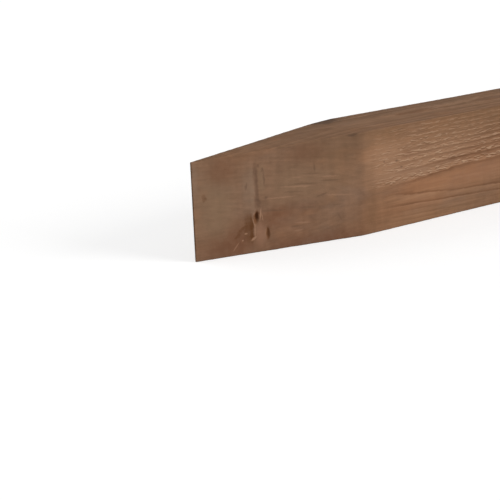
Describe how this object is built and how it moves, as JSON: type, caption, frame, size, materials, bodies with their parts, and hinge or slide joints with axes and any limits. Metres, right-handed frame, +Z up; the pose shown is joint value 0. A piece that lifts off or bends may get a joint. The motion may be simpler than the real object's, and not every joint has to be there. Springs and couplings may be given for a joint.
{
  "type": "fence post",
  "caption": "Sawn rectangular softwood fence post, stained brown, with one end cut to an upright wedge point for driving into the ground and a square butt end.",
  "frame": {"origin": "under the middle of the post, on the surface that it lies on", "axes": "+X along the post from the point to the butt end, +Z up, -Y out of the front face"},
  "size_m": [1.8, 0.075, 0.1],
  "materials": {
    "brown_softwood": "rough sawn, brown preservative stain, matt"
  },
  "bodies": {
    "root": {"post": "brown_softwood"}
  },
  "joints": []
}
